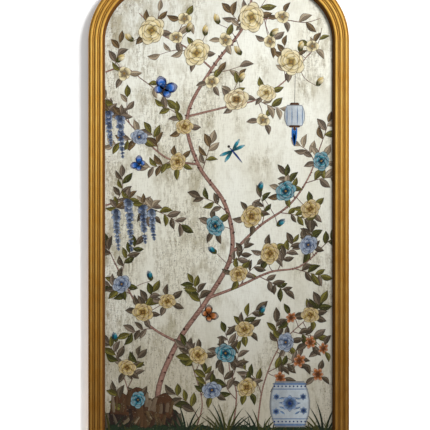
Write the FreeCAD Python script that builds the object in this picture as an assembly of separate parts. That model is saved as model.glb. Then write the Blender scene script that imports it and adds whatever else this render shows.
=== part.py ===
import FreeCAD, Part
import math
import os

# Arched wall mirror in a gilded timber frame. Millimetres, +Z up, the front faces -Y.
# The pieces are built from the frame's bottom edge (z 0) and its back plane (y 0), and
# saved with the origin on the wall, midway between the two hanger eyes.

# Overall size
overall_width = 760.0
overall_height = 1500.0
shoulder_radius = 206.0
shoulder_angle = 48.0

# Frame moulding: u runs inwards from the outer edge, v runs forwards from the back
rim_width = 3.3
reed_width = 9.2
quirk_width = 0.8
bead_width = 3.8
inner_quirk = 1.6
cove_width = 3.9
outer_edge_height = 25.0
rim_quirk_floor = 24.4
reed_crests = (31.0, 32.5, 34.0)
reed_rise = 3.0
quirk_floors = (27.4, 28.9)
bead_height = 3.3
inner_floor = 24.0
cove_sag = 1.0
lip_thickness = 1.5
lip_overlap = 7.0

# What the rebate holds, from the back board to the lip
board_thickness = 5.0
sheet_thickness = 2.5
glass_thickness = 4.0
tape_thickness = 1.0
board_edge_gap = 1.0
glass_edge_gap = 2.0
tape_edge_gap = 1.0
tape_setback = 1.5

# Blocks and spacers between the glass edge and the rebate wall
block_length = 50.0
block_corner_distance = 147.0
spacer_length = 40.0
spacer_rail_distance = 172.0
spacer_spring_distance = 127.0

# Splines across the arch joints and V-nails across the bottom mitres
spline_width = 28.0
spline_thickness = 4.0
spline_length = 30.0
spline_glue_space = 0.5
spline_back = 8.0
spline_outer = 6.0
nail_leg = 8.0
nail_thickness = 0.8
nail_depth = 10.0
nail_offsets = (9.0, 25.0)

# Turn buttons that hold the board, and their screws
button_thickness = 1.5
button_width = 11.0
button_reach = 24.0
button_tail = 7.0
button_pivot_inset = 28.0
button_rail_distance = 212.0
button_ring_gap = 4.0
button_corner_distance = 230.0
button_crown_turn = 18.0
button_play = 0.1
pivot_clearance = 0.05
button_screw_radius = 1.75
button_screw_depth = 13.0
button_head_radius = 4.0
button_head_height = 2.4
pilot_clearance = 0.1
recess_depth = 1.2
recess_length = 3.6
recess_width = 0.9

# Strap hangers, their D-rings and screws
hanger_drop = 97.0
hanger_inset = 20.5
strap_width = 18.0
strap_thickness = 1.6
strap_length = 60.0
strap_hole_clearance = 0.25
strap_first_screw = 15.0
strap_end_distance = 8.0
strap_screw_radius = 2.0
strap_screw_depth = 16.0
strap_head_radius = 3.8
strap_head_height = 2.4
ring_wire_radius = 2.0
ring_side_gap = 1.0
ring_corner_radius = 3.0
ring_leg_length = 9.0
ring_rest_gap = 0.3

# Rubber bumpers between the frame and the wall
bumper_height = 8.0
bumper_base_radius = 10.0
bumper_tip_radius = 8.0
bumper_edge_round = 1.0
bumper_inset = 20.5

# Sizes worked out from the ones above
half_width = overall_width / 2
shoulder_turn = math.radians(shoulder_angle)
shoulder_x = half_width - shoulder_radius
crown_radius = shoulder_radius + shoulder_x / math.cos(shoulder_turn)
crown_drop = shoulder_x * math.tan(shoulder_turn)
spring_height = overall_height - crown_radius + crown_drop
crown_centre = FreeCAD.Vector(0, 0, spring_height - crown_drop)
bead_pitch = reed_width + bead_width + 2 * quirk_width
reeds_start = rim_width + quirk_width
reeds_end = reeds_start + (len(reed_crests) - 1) * bead_pitch + reed_width
frame_width = reeds_end + inner_quirk + cove_width
rebate_inset = frame_width - lip_overlap
rebate_depth = board_thickness + sheet_thickness + glass_thickness + tape_thickness
sight_height = rebate_depth + lip_thickness
sheet_front = board_thickness + sheet_thickness
glass_front = sheet_front + glass_thickness
glass_inset = rebate_inset + glass_edge_gap
glass_half = half_width - glass_inset
hanger_height = spring_height - hanger_drop
bow_radius = strap_width / 2 + ring_side_gap + ring_corner_radius
bow_height = ring_corner_radius + ring_leg_length + bow_radius
strap_last_screw = strap_length - strap_end_distance
strap_screw_spots = (strap_first_screw, (strap_first_screw + strap_last_screw) / 2, strap_last_screw)

Vector = FreeCAD.Vector
forward = Vector(0, -1, 0)
backward = Vector(0, 1, 0)
wall_origin = Vector(0, bumper_height, hanger_height)


def save(name, shape):
    placed = shape.copy()
    placed.translate(wall_origin * -1)
    placed.exportStep("parts/" + name + ".step")
    print(f"{name}: {len(shape.Solids)} solid(s), {shape.Volume / 1000:.2f} cm3, valid {shape.isValid()}")


def shoulder_centre(side):
    return Vector(side * shoulder_x, 0, spring_height)


def ray(angle):
    # Unit vector at an angle in the frame's plane, 0 towards +X and 90 towards +Z
    turn = math.radians(angle)
    return Vector(math.cos(turn), 0, math.sin(turn))


def moulding_face(outer_point, inward):
    # The moulding's section, standing on a point of the outer edge
    def at(u, v):
        return outer_point + inward * u + forward * v

    edges = []
    last = at(0, 0)

    def line_to(u, v):
        nonlocal last
        edges.append(Part.LineSegment(last, at(u, v)).toShape())
        last = at(u, v)

    def arc_to(middle_u, middle_v, u, v):
        nonlocal last
        edges.append(Part.Arc(last, at(middle_u, middle_v), at(u, v)).toShape())
        last = at(u, v)

    def round_to(start, width, crest, rise):
        line_to(start, crest - rise)
        arc_to(start + width / 2, crest, start + width, crest - rise)

    round_to(0, rim_width, outer_edge_height + rim_width / 2, rim_width / 2)
    line_to(rim_width, rim_quirk_floor)
    line_to(reeds_start, rim_quirk_floor)
    for index, crest in enumerate(reed_crests):
        reed_start = reeds_start + index * bead_pitch
        round_to(reed_start, reed_width, crest, reed_rise)
        if index < len(quirk_floors):
            floor = quirk_floors[index]
            bead_start = reed_start + reed_width + quirk_width
            line_to(reed_start + reed_width, floor)
            line_to(bead_start, floor)
            round_to(bead_start, bead_width, floor + bead_height, bead_width / 2)
            line_to(bead_start + bead_width, floor)
            line_to(bead_start + bead_width + quirk_width, floor)
    line_to(reeds_end, inner_floor)
    cove_start = reeds_end + inner_quirk
    line_to(cove_start, inner_floor)
    cove_fall = inner_floor - sight_height
    cove_chord = math.hypot(cove_width, cove_fall)
    cove_u = cove_start + cove_width / 2 - cove_sag * cove_fall / cove_chord
    cove_v = sight_height + cove_fall / 2 - cove_sag * cove_width / cove_chord
    arc_to(cove_u, cove_v, frame_width, sight_height)
    line_to(frame_width, rebate_depth)
    line_to(rebate_inset, rebate_depth)
    line_to(rebate_inset, 0)
    line_to(0, 0)
    return Part.Face(Part.Wire(edges))


def prism(points, back, front):
    # A flat plate: points are (x, z), and back and front are heights above the frame's back
    corners = [Vector(x, -back, z) for x, z in points]
    face = Part.Face(Part.makePolygon(corners + corners[:1]))
    return face.extrude(forward * (front - back))


def arch_face(inset, height):
    # The arch outline moved inwards by an inset, standing at a height above the frame's back
    def at(point):
        return Vector(point.x, -height, point.z)

    shoulder = shoulder_radius - inset
    crown = crown_radius - inset
    joint_angles = (0, shoulder_angle / 2, shoulder_angle)
    right = [shoulder_centre(1) + ray(angle) * shoulder for angle in joint_angles]
    left = [Vector(-point.x, 0, point.z) for point in right]
    apex = crown_centre + ray(90) * crown
    low_right = Vector(right[0].x, 0, inset)
    low_left = Vector(left[0].x, 0, inset)
    edges = [
        Part.LineSegment(at(low_left), at(low_right)).toShape(),
        Part.LineSegment(at(low_right), at(right[0])).toShape(),
        Part.Arc(at(right[0]), at(right[1]), at(right[2])).toShape(),
        Part.Arc(at(right[2]), at(apex), at(left[2])).toShape(),
        Part.Arc(at(left[2]), at(left[1]), at(left[0])).toShape(),
        Part.LineSegment(at(left[0]), at(low_left)).toShape(),
    ]
    return Part.Face(Part.Wire(edges))


def arch_plate(inset, back, front):
    return arch_face(inset, back).extrude(forward * (front - back))


def curved_segment(centre, radius, start, sweep):
    face = moulding_face(centre + ray(start) * radius, ray(start) * -1)
    return face.revolve(centre, forward, sweep)


def spline(outer_point, inward, length):
    # A loose tongue across a joint: its width lies along the joint, its length across it
    along = inward.cross(forward)
    middle = outer_point + inward * (spline_outer + spline_width / 2)
    corners = []
    for across, lengthways in ((-1, -1), (1, -1), (1, 1), (-1, 1)):
        corner = middle + inward * (across * spline_width / 2) + along * (lengthways * length / 2)
        corners.append((corner.x, corner.z))
    return prism(corners, spline_back, spline_back + spline_thickness)


def mitre_nail(side, offset):
    # A V of thin steel, open towards the inside of the corner, driven in from the back
    def at(x, z):
        return (side * (half_width - x), z)

    tip = offset + nail_leg
    web = offset + nail_thickness
    points = [at(offset, offset), at(tip, offset), at(tip, web), at(web, web), at(web, tip), at(offset, tip)]
    return prism(points, 0, nail_depth)


def screw(pivot, seat, shank_radius, depth, head_radius, head_height):
    # A pan-head wood screw driven in from the back, with a cross recess; seat is under its head
    head_base = Vector(pivot.x, seat, pivot.z)
    shank = Part.makeCylinder(shank_radius, seat + depth, head_base, forward)
    head = Part.makeCylinder(head_radius, head_height, head_base, backward)
    rim = [edge for edge in head.Edges if abs(edge.CenterOfMass.y - seat - head_height) < 0.01]
    head = head.makeFillet(head_height / 2, rim)
    top = seat + head_height
    half_length = recess_length / 2
    half_slot = recess_width / 2
    quarters = ((-1, -1), (1, -1), (1, 1), (-1, 1))
    for half_x, half_z in ((half_slot, half_length), (half_length, half_slot)):
        points = [(pivot.x + a * half_x, pivot.z + b * half_z) for a, b in quarters]
        head = head.cut(prism(points, -top, recess_depth - top))
    return head.fuse(shank).removeSplitter()


def pilot_hole(pivot, shank_radius, depth):
    return Part.makeCylinder(shank_radius + pilot_clearance, depth, Vector(pivot.x, 0, pivot.z), forward)


def turn_button(pivot, inward):
    # A flat bar with round ends that turns on its screw
    radius = button_width / 2
    side = inward.cross(forward) * radius
    back = Vector(0, button_play, 0)
    tip = pivot + inward * (button_reach - radius) + back
    tail = pivot - inward * (button_tail - radius) + back
    edges = [
        Part.LineSegment(tail + side, tip + side).toShape(),
        Part.Arc(tip + side, tip + inward * radius, tip - side).toShape(),
        Part.LineSegment(tip - side, tail - side).toShape(),
        Part.Arc(tail - side, tail - inward * radius, tail + side).toShape(),
    ]
    bar = Part.Face(Part.Wire(edges)).extrude(backward * button_thickness)
    hole_radius = button_screw_radius + pivot_clearance
    return bar.cut(Part.makeCylinder(hole_radius, bumper_height, pivot, backward))


def hanger_strap(pivot):
    # A strap folded round the D-ring's bar: two layers below, with the eye at the top
    eye_inner = ring_wire_radius + pivot_clearance
    eye_outer = eye_inner + strap_thickness
    left = pivot.x - strap_width / 2
    sideways = Vector(1, 0, 0)
    eye = Part.makeCylinder(eye_outer, strap_width, Vector(left, pivot.y, pivot.z), sideways)
    foot = pivot.z - strap_length
    base = Part.makeBox(strap_width, strap_thickness, strap_length, Vector(left, 0, foot))
    fold_length = strap_length - eye_inner
    fold = Part.makeBox(strap_width, strap_thickness, fold_length, Vector(left, strap_thickness, foot))
    body = eye.fuse([base, fold])
    body = body.cut(Part.makeCylinder(eye_inner, strap_width, Vector(left, pivot.y, pivot.z), sideways))
    round_radius = strap_width / 2
    end_centre = Vector(pivot.x, 0, foot + round_radius)
    keep = Part.makeCylinder(round_radius, bumper_height, end_centre, backward)
    upper = Part.makeBox(strap_width, bumper_height, strap_length, Vector(left, 0, end_centre.z))
    body = body.common(keep.fuse(upper))
    hole_radius = strap_screw_radius + strap_hole_clearance
    for spot in strap_screw_spots:
        hole_centre = Vector(pivot.x, 0, pivot.z - spot)
        body = body.cut(Part.makeCylinder(hole_radius, bumper_height, hole_centre, backward))
    return body.removeSplitter()


def hanger_ring(pivot):
    # A D of round wire: its bar lies in the strap's eye and its bow leans on the timber
    bar_half = bow_radius - ring_corner_radius
    leg_top = bow_height - bow_radius
    corner = ring_corner_radius * (1 - math.sqrt(0.5))

    def at(x, z):
        return pivot + Vector(x, 0, z)

    leg_foot = ring_corner_radius
    path = [
        Part.LineSegment(at(0, 0), at(bar_half, 0)).toShape(),
        Part.Arc(at(bar_half, 0), at(bow_radius - corner, corner), at(bow_radius, leg_foot)).toShape(),
        Part.LineSegment(at(bow_radius, leg_foot), at(bow_radius, leg_top)).toShape(),
        Part.Arc(at(bow_radius, leg_top), at(0, bow_height), at(-bow_radius, leg_top)).toShape(),
        Part.LineSegment(at(-bow_radius, leg_top), at(-bow_radius, leg_foot)).toShape(),
        Part.Arc(at(-bow_radius, leg_foot), at(corner - bow_radius, corner), at(-bar_half, 0)).toShape(),
        Part.LineSegment(at(-bar_half, 0), at(0, 0)).toShape(),
    ]
    section = Part.Wire(Part.Circle(at(0, 0), Vector(1, 0, 0), ring_wire_radius).toShape())
    ring = Part.Wire(path).makePipeShell([section], True, False)
    lean = math.asin((pivot.y - ring_wire_radius - ring_rest_gap) / bow_height)
    ring.rotate(pivot, Vector(1, 0, 0), math.degrees(lean))
    return ring


def bumper(centre):
    pad = Part.makeCone(bumper_base_radius, bumper_tip_radius, bumper_height, centre, backward)
    rim = [edge for edge in pad.Edges if abs(edge.CenterOfMass.y - bumper_height) < 0.01]
    return pad.makeFillet(bumper_edge_round, rim)


# Turn buttons: where each one pivots, which way it points and which timber it is screwed to
button_x = half_width - button_pivot_inset
button_low = frame_width + button_rail_distance
button_high = hanger_height + bow_height + ring_wire_radius + button_ring_gap + button_reach
button_heights = {"lower": button_low, "middle": (button_low + button_high) / 2, "upper": button_high}
button_sites = {}
for side_name, side in (("left", -1), ("right", 1)):
    for level_name, height in button_heights.items():
        site = (Vector(side * button_x, 0, height), Vector(-side, 0, 0), side_name + "_stile")
        button_sites["turn_button_" + side_name + "_" + level_name] = site
    rail_pivot = Vector(side * (half_width - button_corner_distance), 0, button_pivot_inset)
    button_sites["turn_button_bottom_" + side_name] = (rail_pivot, Vector(0, 0, 1), "bottom_rail")
    crown_turn = shoulder_angle + button_crown_turn
    if side < 0:
        crown_turn = 180 - crown_turn
    crown_pivot = crown_centre + ray(crown_turn) * (crown_radius - button_pivot_inset)
    crown_site = (crown_pivot, ray(crown_turn) * -1, "crown_" + side_name)
    button_sites["turn_button_crown_" + side_name] = crown_site

# Timber: two stiles and a rail, mitred below, and four curved segments above
timber = {}
for side_name, side in (("left", -1), ("right", 1)):
    section = moulding_face(Vector(side * half_width, 0, 0), Vector(-side, 0, 0))
    straight = section.extrude(Vector(0, 0, spring_height))
    outer_x = side * half_width
    sight_x = side * (half_width - frame_width)
    outline = [(outer_x, 0), (outer_x, spring_height), (sight_x, spring_height), (sight_x, frame_width)]
    timber[side_name + "_stile"] = straight.common(prism(outline, 0, max(reed_crests)))
    shoulder_start = 0 if side > 0 else 180 - shoulder_angle
    shoulder = curved_segment(shoulder_centre(side), shoulder_radius, shoulder_start, shoulder_angle)
    timber["shoulder_" + side_name] = shoulder
    crown_start = shoulder_angle if side > 0 else 90
    crown = curved_segment(crown_centre, crown_radius, crown_start, 90 - shoulder_angle)
    timber["crown_" + side_name] = crown
rail_section = moulding_face(Vector(-half_width, 0, 0), Vector(0, 0, 1))
sight_half = half_width - frame_width
rail_outline = [(-half_width, 0), (half_width, 0), (sight_half, frame_width), (-sight_half, frame_width)]
rail_length = rail_section.extrude(Vector(overall_width, 0, 0))
timber["bottom_rail"] = rail_length.common(prism(rail_outline, 0, max(reed_crests)))

# Splines: one across each of the five arch joints, in slots a little longer than they are
joints = [(crown_centre + ray(90) * crown_radius, ray(90) * -1, ("crown_left", "crown_right"))]
for side_name, side in (("left", -1), ("right", 1)):
    inward = Vector(-side, 0, 0)
    spring_point = Vector(side * half_width, 0, spring_height)
    joints.append((spring_point, inward, (side_name + "_stile", "shoulder_" + side_name)))
    joint_ray = ray(shoulder_angle if side > 0 else 180 - shoulder_angle)
    shoulder_point = shoulder_centre(side) + joint_ray * shoulder_radius
    joints.append((shoulder_point, joint_ray * -1, ("shoulder_" + side_name, "crown_" + side_name)))
splines = []
for outer_point, inward, neighbours in joints:
    splines.append(spline(outer_point, inward, spline_length))
    slot = spline(outer_point, inward, spline_length + 2 * spline_glue_space)
    for name in neighbours:
        timber[name] = timber[name].cut(slot)

# V-nails across the bottom mitres
nails = []
for side_name, side in (("left", -1), ("right", 1)):
    for offset in nail_offsets:
        nail = mitre_nail(side, offset)
        nails.append(nail)
        for name in (side_name + "_stile", "bottom_rail"):
            timber[name] = timber[name].cut(nail)

# Turn buttons and their screws
button_seat = button_thickness + 2 * button_play
button_screws = []
button_screw = (button_screw_radius, button_screw_depth, button_head_radius, button_head_height)
for name, (pivot, inward, holder) in button_sites.items():
    save(name, turn_button(pivot, inward))
    button_screws.append(screw(pivot, button_seat, *button_screw))
    timber[holder] = timber[holder].cut(pilot_hole(pivot, button_screw_radius, button_screw_depth))

# Strap hangers, their D-rings and screws
ring_pivot_height = strap_thickness + pivot_clearance + ring_wire_radius
strap_screws = []
strap_screw = (strap_screw_radius, strap_screw_depth, strap_head_radius, strap_head_height)
for side_name, side in (("left", -1), ("right", 1)):
    pivot = Vector(side * (half_width - hanger_inset), ring_pivot_height, hanger_height)
    save("hanger_strap_" + side_name, hanger_strap(pivot))
    save("hanger_ring_" + side_name, hanger_ring(pivot))
    for spot in strap_screw_spots:
        centre = Vector(pivot.x, 0, pivot.z - spot)
        strap_screws.append(screw(centre, 2 * strap_thickness, *strap_screw))
        hole = pilot_hole(centre, strap_screw_radius, strap_screw_depth)
        timber[side_name + "_stile"] = timber[side_name + "_stile"].cut(hole)

# Rubber bumpers: two at the bottom corners and two halfway round the shoulders
bumpers = []
for side in (-1, 1):
    bumpers.append(bumper(Vector(side * (half_width - bumper_inset), 0, bumper_inset)))
    bumper_ray = ray(shoulder_angle / 2 if side > 0 else 180 - shoulder_angle / 2)
    bumpers.append(bumper(shoulder_centre(side) + bumper_ray * (shoulder_radius - bumper_inset)))

# The pane and what lies behind and around it
spacer_low = frame_width + spacer_rail_distance
spacer_high = spring_height - spacer_spring_distance
spacer_heights = (spacer_low, (spacer_low + spacer_high) / 2, spacer_high)
blocks = []
spacers = []
for side in (-1, 1):
    block_x = side * (glass_half - block_corner_distance)
    half_block = block_length / 2
    block_points = [
        (block_x - half_block, rebate_inset),
        (block_x + half_block, rebate_inset),
        (block_x + half_block, glass_inset),
        (block_x - half_block, glass_inset),
    ]
    blocks.append(prism(block_points, sheet_front, glass_front))
    for height in spacer_heights:
        inner_x = side * glass_half
        outer_x = side * (glass_half + glass_edge_gap)
        low = height - spacer_length / 2
        high = height + spacer_length / 2
        spacer_points = [(inner_x, low), (outer_x, low), (outer_x, high), (inner_x, high)]
        spacers.append(prism(spacer_points, sheet_front, glass_front))
tape = arch_plate(rebate_inset + tape_edge_gap, glass_front, rebate_depth)
tape = tape.cut(arch_plate(frame_width - tape_setback, glass_front, rebate_depth))

for name, shape in timber.items():
    save(name, shape)
save("joint_splines", Part.makeCompound(splines))
save("mitre_nails", Part.makeCompound(nails))
save("turn_button_screws", Part.makeCompound(button_screws))
save("hanger_screws", Part.makeCompound(strap_screws))
save("wall_bumpers", Part.makeCompound(bumpers))
save("mirror_glass", arch_plate(glass_inset, sheet_front, glass_front))
save("rebate_tape", tape)
save("spacer_sheet", arch_plate(rebate_inset + board_edge_gap, board_thickness, sheet_front))
save("backing_board", arch_plate(rebate_inset + board_edge_gap, 0, board_thickness))
save("setting_blocks", Part.makeCompound(blocks))
save("edge_spacers", Part.makeCompound(spacers))
print(f"crown radius {crown_radius:.2f}, spring line {spring_height:.2f}, frame width {frame_width:.2f}")
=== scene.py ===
import math
import random

import bmesh
import bpy
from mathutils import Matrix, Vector
from mathutils.geometry import interpolate_bezier


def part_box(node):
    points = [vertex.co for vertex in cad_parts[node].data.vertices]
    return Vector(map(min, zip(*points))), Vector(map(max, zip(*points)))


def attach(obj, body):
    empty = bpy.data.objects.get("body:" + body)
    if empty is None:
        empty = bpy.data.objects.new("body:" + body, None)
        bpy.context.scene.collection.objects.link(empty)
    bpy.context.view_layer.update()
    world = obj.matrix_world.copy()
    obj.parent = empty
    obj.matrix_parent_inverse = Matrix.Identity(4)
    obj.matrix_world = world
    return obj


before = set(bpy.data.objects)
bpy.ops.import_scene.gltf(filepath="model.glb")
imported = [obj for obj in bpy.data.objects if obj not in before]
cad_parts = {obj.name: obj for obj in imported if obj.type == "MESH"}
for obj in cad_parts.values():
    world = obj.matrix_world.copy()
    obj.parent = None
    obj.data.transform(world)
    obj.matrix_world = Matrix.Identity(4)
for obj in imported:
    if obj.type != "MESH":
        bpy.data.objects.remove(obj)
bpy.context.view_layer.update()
print("frame loaded", len(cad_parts), "nodes")

# The mirror's main sizes, in metres, from the frame
railLow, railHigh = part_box("bottom_rail")
halfWidth = railHigh.x
bottomZ = railLow.z
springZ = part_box("right_stile")[1].z
frameBack = railHigh.y
frameWidth = railHigh.z - railLow.z
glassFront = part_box("mirror_glass")[0].y
sightHalf = halfWidth - frameWidth
sightBottom = bottomZ + frameWidth
# the arch is a shoulder on either side, through this angle, and a flatter crown between
shoulderRadius = 0.206
shoulderAngle = math.radians(48)
shoulderX = halfWidth - shoulderRadius
crownRadius = shoulderRadius + shoulderX / math.cos(shoulderAngle)
crownZ = springZ - shoulderX * math.tan(shoulderAngle)
quarter = math.pi / 2


# Shader helpers: most work in the node tree that their sockets belong to

def treeOf(values):
    return next(value.id_data for value in values if isinstance(value, bpy.types.NodeSocket))


def addNode(tree, kind, inputs=None, **settings):
    node = tree.nodes.new("ShaderNode" + kind)
    for key, value in settings.items():
        setattr(node, key, value)
    for key, value in (inputs or {}).items():
        if isinstance(value, bpy.types.NodeSocket):
            tree.links.new(value, node.inputs[key])
        else:
            node.inputs[key].default_value = value
    return node


def calc(operation, *values):
    return addNode(treeOf(values), "Math", dict(enumerate(values)), operation=operation).outputs[0]


def plus(first, second):
    return calc("ADD", first, second)


def minus(first, second):
    return calc("SUBTRACT", first, second)


def times(first, second):
    return calc("MULTIPLY", first, second)


def larger(first, second):
    return calc("MAXIMUM", first, second)


def absolute(value):
    return calc("ABSOLUTE", value)


def remap(value, fromLow, fromHigh, toLow=0.0, toHigh=1.0):
    inputs = {"Value": value, "From Min": fromLow, "From Max": fromHigh, "To Min": toLow, "To Max": toHigh}
    return addNode(value.id_data, "MapRange", inputs, interpolation_type="SMOOTHSTEP").outputs["Result"]


def blend(factor, first, second, mode="MIX"):
    inputs = {0: factor, 6: first, 7: second}  # the colour Mix node's factor, A and B
    return addNode(treeOf(inputs.values()), "Mix", inputs, data_type="RGBA", blend_type=mode).outputs[2]


def blendValue(factor, first, second):
    return addNode(factor.id_data, "Mix", {0: factor, 2: first, 3: second}).outputs[0]


def noise(vector, scale, detail=3.0, roughness=0.55, stretch=(1, 1, 1)):
    tree = vector.id_data
    mapped = addNode(tree, "Mapping", {"Vector": vector, "Scale": stretch}).outputs[0]
    inputs = {"Vector": mapped, "Scale": scale, "Detail": detail, "Roughness": roughness}
    return addNode(tree, "TexNoise", inputs).outputs["Fac"]


def split(vector):
    return addNode(vector.id_data, "SeparateXYZ", {"Vector": vector}).outputs


def useGroup(group, **inputs):
    return addNode(treeOf(inputs.values()), "Group", inputs, node_tree=group).outputs


def finishShader(shader, colour, rough, metal=None, height=None, bump=0.3, depth=0.0005):
    tree = shader.id_data
    tree.links.new(colour, shader.inputs["Base Color"])
    tree.links.new(rough, shader.inputs["Roughness"])
    if metal is not None:
        tree.links.new(metal, shader.inputs["Metallic"])
    if height is not None:
        inputs = {"Strength": bump, "Distance": depth, "Height": height}
        tree.links.new(addNode(tree, "Bump", inputs).outputs[0], shader.inputs["Normal"])


def srgb(red, green, blue):
    def linear(channel):
        value = channel / 255
        return value / 12.92 if value <= 0.04045 else ((value + 0.055) / 1.055) ** 2.4
    return (linear(red), linear(green), linear(blue), 1.0)


def newMaterial(name):
    material = bpy.data.materials.new(name)
    material.use_nodes = True
    tree = material.node_tree
    return material, tree.nodes["Principled BSDF"], addNode(tree, "TexCoord").outputs["Object"]


socketKinds = {"Place": "Vector"}
for label in ("Light", "Dark", "Main", "Grain", "Bright", "Dull", "Paint", "Colour"):
    socketKinds[label] = "Color"


def newGroup(name, inputs, outputs):
    group = bpy.data.node_groups.new(name, "ShaderNodeTree")
    for way, labels in (("INPUT", inputs), ("OUTPUT", outputs)):
        for label in labels:
            kind = "NodeSocket" + socketKinds.get(label, "Float")
            group.interface.new_socket(label, in_out=way, socket_type=kind)
    return group, group.nodes.new("NodeGroupInput").outputs


def putOut(group, **values):
    result = group.nodes.new("NodeGroupOutput").inputs
    for label, value in values.items():
        group.links.new(value, result[label])


def dress(material, *names):
    for name in names:
        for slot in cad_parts[name].material_slots:
            slot.material = material


# Where a point lies on the moulding: millimetres in from the outer edge, and how far the
# timber's grain is turned from upright there
def makeMouldingGroup():
    group, given = newGroup("mouldingPlace", ("Place",), ("Inset", "Turn"))
    parts = split(given["Place"])
    across = absolute(parts["X"])
    sideInset = minus(halfWidth, across)
    railInset = minus(parts["Z"], bottomZ)
    inRail = calc("LESS_THAN", railInset, sideInset)
    straight = calc("MINIMUM", sideInset, railInset)

    def reachInset(centreX, centreZ, radius):
        right = minus(across, centreX)
        up = minus(parts["Z"], centreZ)
        return minus(radius, calc("SQRT", plus(times(right, right), times(up, up))))

    shoulder = reachInset(shoulderX, springZ, shoulderRadius)
    crown = reachInset(0.0, crownZ, crownRadius)
    crownUp = minus(parts["Z"], crownZ)
    inCrown = calc("GREATER_THAN", crownUp, times(across, math.tan(shoulderAngle)))
    inArch = calc("GREATER_THAN", parts["Z"], springZ)
    inset = blendValue(inArch, straight, blendValue(inCrown, shoulder, crown))
    archTurn = blendValue(inCrown, shoulderAngle / 2, (shoulderAngle + quarter) / 2)
    turn = blendValue(inArch, times(inRail, quarter), archTurn)
    putOut(group, Inset=times(inset, 1000.0), Turn=turn)
    return group


# Long grain and pores, for the timbers. The two halves of the frame are cut from different
# stretches of timber, this far apart in the pattern
longGrain = {"apart": 3.7, "ringRun": (1.0, 1.0, 0.05), "poreRun": (1.0, 1.0, 0.06), "poresPerRing": 9.0}


def makeGrainGroup():
    group, given = newGroup("woodGrain", ("Place", "Turn", "Scale", "Light", "Dark"), ("Colour", "Height"))
    parts = split(given["Place"])
    side = calc("GREATER_THAN", parts["X"], 0.0)
    deep = plus(parts["Y"], times(side, longGrain["apart"]))
    inputs = {"X": absolute(parts["X"]), "Y": deep, "Z": parts["Z"]}
    inputs = {"Vector": addNode(group, "CombineXYZ", inputs).outputs[0], "Angle": given["Turn"]}
    turned = addNode(group, "VectorRotate", inputs, rotation_type="Y_AXIS").outputs[0]
    rings = noise(turned, given["Scale"], 4.0, 0.6, longGrain["ringRun"])
    pores = noise(turned, times(given["Scale"], longGrain["poresPerRing"]), 2.0, 0.5, longGrain["poreRun"])
    colour = blend(remap(rings, 0.36, 0.66), given["Light"], given["Dark"])
    colour = blend(remap(pores, 0.56, 0.72, 0.0, 0.55), colour, given["Dark"])
    putOut(group, Colour=colour, Height=plus(rings, times(pores, 0.6)))
    return group


# Small grains and a slow cloud over them, for cork, rubber, felt and boards
def makeGranuleGroup():
    group, given = newGroup("granules", ("Place", "Scale", "Main", "Grain", "Share"), ("Colour", "Height"))
    inputs = {"Vector": given["Place"], "Scale": given["Scale"]}
    cells = addNode(group, "TexVoronoi", inputs).outputs
    shade = split(cells["Color"])["X"]
    cloud = noise(given["Place"], times(given["Scale"], 0.05), 3.0)
    amount = times(times(shade, given["Share"]), remap(cloud, 0.2, 0.8, 0.6, 1.3))
    colour = blend(amount, given["Main"], given["Grain"])
    putOut(group, Colour=colour, Height=plus(cells["Distance"], times(shade, 0.5)))
    return group


# Zinc plate: a duller film and fine scratches
zincPlate = {"film": (90.0, 4.0, 0.6), "scratches": (900.0, 2.0, 0.5, (1.0, 1.0, 0.12))}


def makePlatingGroup():
    inputs = ("Place", "Bright", "Dull", "Polish")
    group, given = newGroup("zincPlate", inputs, ("Colour", "Roughness", "Height"))
    scratches = noise(given["Place"], *zincPlate["scratches"])
    amount = remap(noise(given["Place"], *zincPlate["film"]), 0.35, 0.7)
    colour = blend(amount, given["Bright"], given["Dull"])
    colour = blend(remap(scratches, 0.6, 0.72, 0.0, 0.4), colour, given["Dull"])
    rough = plus(given["Polish"], times(amount, 0.16))
    putOut(group, Colour=colour, Roughness=plus(rough, times(scratches, 0.08)), Height=scratches)
    return group


mouldingGroup = makeMouldingGroup()
grainGroup = makeGrainGroup()
granuleGroup = makeGranuleGroup()
platingGroup = makePlatingGroup()


def grainOver(place, values):
    return useGroup(granuleGroup, Place=place, Scale=values["scale"], Main=values["main"],
                    Grain=values["grain"], Share=values["share"])


# Camera: level, square on to the mirror, at the middle of the picture
picture = {
    "pixels": 430, "perPixel": 0.002914, "centreX": -0.0107, "aboveBottom": 0.7201, "plane": 0.024,
    "lens": 100.0, "sensor": 36.0,
}


def addCamera():
    width = picture["pixels"] * picture["perPixel"]
    distance = width * picture["lens"] / picture["sensor"]
    place = (picture["centreX"], frameBack - picture["plane"] - distance, bottomZ + picture["aboveBottom"])
    bpy.ops.object.camera_add(location=place, rotation=(quarter, 0, 0))
    camera = bpy.context.object
    camera.name = "camera"
    camera.data.lens = picture["lens"]
    camera.data.sensor_width = picture["sensor"]
    bpy.context.scene.camera = camera


addCamera()

# Gilded timber: toned gold on the front, with painted shade on the reed flanks, in the quirks
# and towards the foot, and bare timber on the back. The patterns are scale, detail and roughness
gilding = {
    "gold": srgb(212, 178, 98), "cloudGold": srgb(202, 158, 70), "deepGoldAndShade": srgb(182, 126, 40),
    # the dark glaze colour is painted shade, laid in the quirks
    "bole": srgb(134, 66, 34), "glaze": srgb(92, 50, 10), "side": srgb(150, 104, 44),
    "coveGold": srgb(122, 80, 34), "sightLine": srgb(40, 24, 12),
    # the foot colour is painted shade: the gold darkens over this height towards the bottom, where the key
    # light falls off
    "foot": srgb(216, 206, 200), "footHeight": 1.1,
    "timber": srgb(201, 166, 120), "timberDark": srgb(166, 126, 82), "grainScale": 60.0,
    "cloud": (34.0, 4.0, 0.6), "fine": (320.0, 3.0, 0.6), "laps": (11.0, 2.0, 0.5),
    "roughness": 0.76, "metal": 0.94, "bump": 0.25, "depth": 0.0006,
    "bareFrom": 0.0022, "bareTo": 0.0012,  # how far from the back the gold stops
}
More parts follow.
